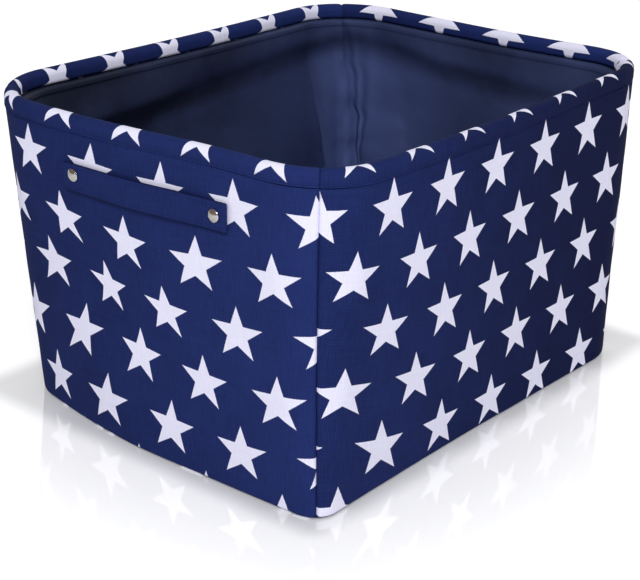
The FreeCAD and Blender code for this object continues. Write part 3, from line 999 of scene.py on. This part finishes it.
def strap_stand(along, level):
    """How far the strap stands off the wall: held down at its rivets, a little loose between them, and
    leaning out at its lower edge. level: the height from its middle, as a share of its own height."""
    loose = np.sin(np.clip(1 - np.abs(along) / STRAP_FREE, 0, 1) * math.pi / 2)
    return STRAP_STAND + STRAP_BOW * loose ** 2 + STRAP_TILT * loose * (0.5 - level)


def strap_half(side, end, material):
    """Half of a strap, from its riveted end (end = -1 or 1) to its middle."""
    reach = STRAP_LENGTH / 2
    tip = [reach, reach - 0.0004, reach - 0.0010]
    along = end * np.concatenate([tip, np.linspace(reach - 0.002, 0.0, 40)])
    taper = np.concatenate([[0.0006, 0.0002], np.zeros(len(along) - 2)])
    rings, cloth = [], []
    for place, narrow in zip(along, taper):
        up, thick = band_profile(STRAP_HEIGHT - 2 * narrow, STRAP_THICKNESS - narrow, STRAP_ROUND).T
        out = strap_stand(place, up / STRAP_HEIGHT) + thick + narrow / 2
        rings.append(on_strap(side, place, up, out))
        cloth.append(np.stack([np.full(len(up), place), up], axis=-1))
    piece = rod(side + "_strap_" + END_NAMES[end], np.array(rings), np.array(cloth), backward=end < 0)
    clean_up(piece)
    rims = {key for face in piece.data.polygons if len(face.vertices) > 4 for key in face.edge_keys}
    for edge in piece.data.edges:
        edge.use_edge_sharp = edge.key in rims
    finish_piece(piece, material, None, "strap", side + "_strap")
    blend_strap(piece, side, end)


def strap_stitches(side, end, material):
    """The stitches along both edges of half a strap."""
    reach = STRAP_LENGTH / 2 - STITCH_START
    count = round(reach / STITCH_PITCH)
    stitches = []
    for edge in (-1, 1):
        up = edge * (STRAP_HEIGHT / 2 - STRAP_STITCH_EDGE)
        for i in range(count):
            near = end * reach * (1 - i / count)
            ends = []
            for along in (near, near - end * STITCH_LENGTH):
                out = strap_stand(along, edge * STRAP_STITCH_LEVEL) + STRAP_THICKNESS
                ends.append(on_strap(side, along, up, out))
            stitches.append((*ends, way_out(side, near, up)))
    piece = stitch_mesh(side + "_strap_stitches_" + END_NAMES[end], stitches)
    finish_piece(piece, material, None, "strap")
    blend_strap(piece, side, end)


def blend_strap(piece, side, end):
    """Bakes a strap piece's place into its mesh; the points at its rivet and at its grip are worked out but
    not used.
    """
    start, finish = (on_strap(side, end * along, 0.0, 0.001) for along in (STRAP_FREE, STRAP_GRIPPED))
    tuple(start)
    tuple(finish)
    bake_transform(piece)


def lathe(name, profile, base, outward, turns=28):
    """A turned piece from pairs of radius and distance along its axis."""
    outward = Vector(outward).normalized()
    aside = outward.cross(Vector((0, 0, 1))).normalized()
    up = aside.cross(outward)
    points = []
    for radius, distance in profile:
        points += circle(Vector(base) + outward * distance, aside, up, radius, turns)
    piece = new_piece(name, points, ring_faces(len(profile), turns))
    clean_up(piece)
    return piece


def cap_profile(radius, height, low):
    """A domed cap with a rolled lip, from the edge of its underside round to the middle of its top."""
    points = [(radius - 2 * CAP_LIP, low + CAP_FLOOR)]
    points += arc(radius - CAP_LIP, low + CAP_LIP, CAP_LIP, 230, 400, 8)
    dome = height - CAP_LIP
    ball = (radius ** 2 + dome ** 2) / (2 * dome)
    for reach in (radius - 0.5 * CAP_LIP) * np.linspace(0.9, 0.0, 9):
        points.append((reach, low + height - ball + math.sqrt(ball ** 2 - reach ** 2)))
    return points


def rivet_pair(side, end, material):
    """A rivet, whose cap lies on the strap, and the back that its post is set in, inside the lining."""
    place = (side, end * RIVET_SPACING / 2, RIVET_RAISED.get((side, end), 0.0))
    base, outward = on_strap(*place, 0.0), way_out(*place)
    seat = STRAP_STAND + STRAP_THICKNESS + PLY_GAP
    post_end = WALL_INSIDE + POST_BEYOND
    bore_end = post_end + POST_PLAY
    post = [(0.0, -post_end), (POST_RADIUS, -post_end), (POST_RADIUS, seat + CAP_FLOOR)]
    bore = [(0.0, bore_end), (POST_BORE, bore_end), (POST_BORE, WALL_INSIDE + CAP_FLOOR)]
    for name, profile, way in (
        ("_rivet", post + cap_profile(CAP_RADIUS, CAP_HEIGHT, seat), outward),
        ("_rivet_back", bore + cap_profile(BACK_RADIUS, BACK_HEIGHT, WALL_INSIDE), -outward),
    ):
        piece = lathe(side + name + "_" + END_NAMES[end], profile, base, way)
        finish_piece(piece, material, side + "_handle", "rivets", side + name + "s")


# ---- the bin

# The canvas carries painted light: paler near the seam where the print starts. The front gets a darker copy
# of it, painted shade toward its far end.
printed = printed_canvas("printed_canvas", (0.28, -0.05))
printed_front_painted_shade = printed_canvas("printed_canvas_front", (0.07, -0.58))
plain = plain_canvas()
lining = satin()
felt = grained("stiffener_felt", srgb(186, 184, 178), srgb(232, 230, 224),
               [(0.7, 900.0, 5.0, 0.7), (0.3, 40.0, 3.0)], (0.0005, 0.6),
               Roughness=0.95, Specular_IOR_Level=0.1, Sheen_Weight=0.3)
board = grained("fibreboard", srgb(128, 98, 66), srgb(190, 156, 116),
                [(0.7, 500.0, 6.0, 0.7), (0.3, 140.0, 2.0)], (0.0002, 0.5),
                Roughness=0.8, Specular_IOR_Level=0.25)
METAL_GRAIN = [(0.3, 2500.0, 3.0), (0.7, 180.0, 4.0, 0.6)]
nickel = grained("nickel", srgb(176, 172, 168), srgb(226, 224, 222), METAL_GRAIN, gloss=0.16, Metallic=1.0)
steel = grained("wire_steel", srgb(150, 150, 152), srgb(190, 190, 192), METAL_GRAIN, gloss=0.30, Metallic=1.0)
navy_thread = grained("navy_thread", srgb(18, 26, 62), srgb(34, 46, 104), [(1.0, 3000.0, 2.0)], (0.0001, 0.5),
                      Roughness=0.8, Specular_IOR_Level=0.06)
for side in SIDES:
    canvas = printed_front_painted_shade if side == "front" else printed
    flat_ply("outer_canvas_", "outer", side, canvas, "canvas", CANVAS_TOP, 0.0, 0.0, CANVAS,
             "stiffener_felt_" + side)
    flat_ply("stiffener_felt_", "stiffener", side, felt, "stiffener", FELT_TOP, SEAM_CLEAR, STIFFENER_INSET,
             STIFFENER, "base_board")
    lining_panel(side, lining)
    hem_piece(side, canvas)
    hem_stitches(side, navy_thread)
    filling_piece(side, felt)
wire_piece(steel)
sleeve_piece(steel)
floor_plate("outer_canvas_base", printed, "canvas", "outer_base", 0.0, CANVAS, 0.0)
floor_plate("base_fibreboard", board, "board", "base_board", BOARD_LOW, BOARD_HIGH - BOARD_LOW, LINING_INSET)
floor_plate("lining_satin_base", lining, "lining", "lining_base", LINING_BOTTOM, LINING, WALL_INSIDE,
            lining_waves)
for side in HANDLE_SIDES:
    for end in END_NAMES:
        strap_half(side, end, plain)
        strap_stitches(side, end, navy_thread)
        rivet_pair(side, end, nickel)

# ---- camera and light

CAMERA_PLACE = (-0.99619, -0.81161, 0.57986)
CAMERA_YAW = 0.683979  # from +X toward +Y, radians
CAMERA_PITCH = -0.374911
CAMERA_ROLL = 0.025391
CAMERA_LENS = 93.76
CAMERA_SHIFT = (-0.0136, -0.0163)
KEY_PLACE = (-1.85, -1.55, 1.8)
KEY_SIZE = 0.7
KEY_POWER = 39
KEY_AIM = (0, 0, 0.12)
WORLD_STRENGTH = 0.62
WHITE = (1, 1, 1, 1)
DARK_CEILING = (0.20, 0.16, 0.14, 1)
FLOOR_HALF = 6.0
FLOOR_DROP = 0.0004  # the floor's gap below the bin


def make_camera():
    level = math.cos(CAMERA_PITCH)
    ahead = Vector((level * math.cos(CAMERA_YAW), level * math.sin(CAMERA_YAW), math.sin(CAMERA_PITCH)))
    right = Vector((math.sin(CAMERA_YAW), -math.cos(CAMERA_YAW), 0))
    up = right.cross(ahead)
    rolled_right = right * math.cos(CAMERA_ROLL) + up * math.sin(CAMERA_ROLL)
    rolled_up = up * math.cos(CAMERA_ROLL) - right * math.sin(CAMERA_ROLL)
    data = bpy.data.cameras.new("camera")
    data.lens = CAMERA_LENS
    data.shift_x, data.shift_y = CAMERA_SHIFT
    camera = add_to_scene("camera", data)
    turn = Matrix((rolled_right, rolled_up, -ahead)).transposed().to_4x4()
    camera.matrix_world = Matrix.Translation(CAMERA_PLACE) @ turn
    bpy.context.scene.camera = camera


def make_world():
    """Plain light; white past the bin; and in its gloss a white room whose ceiling is dark toward -X."""
    world = bpy.data.worlds.new("studio")
    world.use_nodes = True
    world.node_tree.nodes.clear()
    nodes = Nodes(world.node_tree)
    rays = ("Is Camera Ray", "Is Glossy Ray", "Is Transmission Ray")
    to_camera, glossy, through = (nodes.value("ShaderNodeLightPath", output=ray) for ray in rays)
    toward = nodes.split(nodes.value("ShaderNodeTexCoord", output="Generated"))
    dark = toward[2].ease(-0.05, 0.15) * toward[0].ease(0.55, 0.25)
    light = nodes.value("ShaderNodeBackground", {"Color": WHITE, "Strength": WORLD_STRENGTH})
    white = nodes.value("ShaderNodeBackground", {"Color": WHITE})
    mirrored = nodes.value("ShaderNodeBackground", {"Color": dark.blend(WHITE, DARK_CEILING)})
    shown = to_camera.math("MAXIMUM", through).mix(glossy.mix(light, mirrored), white)
    nodes.node("ShaderNodeOutputWorld", {0: shown})
    bpy.context.scene.world = world


def make_light():
    data = bpy.data.lights.new("key", "AREA")
    data.size = KEY_SIZE
    data.energy = KEY_POWER
    light = add_to_scene("key", data)
    light.location = KEY_PLACE
    light.rotation_euler = (Vector(KEY_AIM) - Vector(KEY_PLACE)).to_track_quat("-Z", "Y").to_euler()


def make_floor():
    """A white floor that reflects a little of the bin and is paler away from it: its glow toward the camera
    is weaker close to the bin, a painted contact shadow.
    """
    corners = ((-1, -1), (1, -1), (1, 1), (-1, 1))
    points = [(x * FLOOR_HALF, y * FLOOR_HALF, -FLOOR_DROP) for x, y in corners]
    floor = new_piece("floor", points, [(0, 1, 2, 3)])
    shader = Shader("floor_white", Roughness=0.5, Specular_IOR_Level=0.2, Base_Color=(0.88, 0.88, 0.89, 1),
                    Emission_Color=WHITE)
    place = shader.position()
    beyond = [(abs(place[i]) - (HALF_RIM[i] - LEAN[i])).math("MAXIMUM", 0.0) for i in (0, 1)]
    away = (beyond[0] ** 2.0 + beyond[1] ** 2.0).math("SQRT")
    seen = shader.value("ShaderNodeLightPath", output="Is Camera Ray")
    # Painted contact shadow: the glow toward the camera falls off close to the bin.
    shader.set("Emission Strength", seen * away.ease(0.0, 0.026, 0.02, 0.385))
    gloss = shader.value("ShaderNodeBsdfGlossy", {"Roughness": 0.04, "Color": WHITE})
    surface = Value(shader, shader.surface.outputs[0])
    mixed = away.ease(0.0, 0.19, 0.17, 0.0).mix(surface, gloss)
    output = next(node for node in shader.tree.nodes if node.type == "OUTPUT_MATERIAL")
    shader.put(output.inputs[0], mixed)
    floor.data.materials.append(shader.material)


bpy.context.scene.view_settings.view_transform = "Standard"
make_camera()
make_world()
make_light()
make_floor()
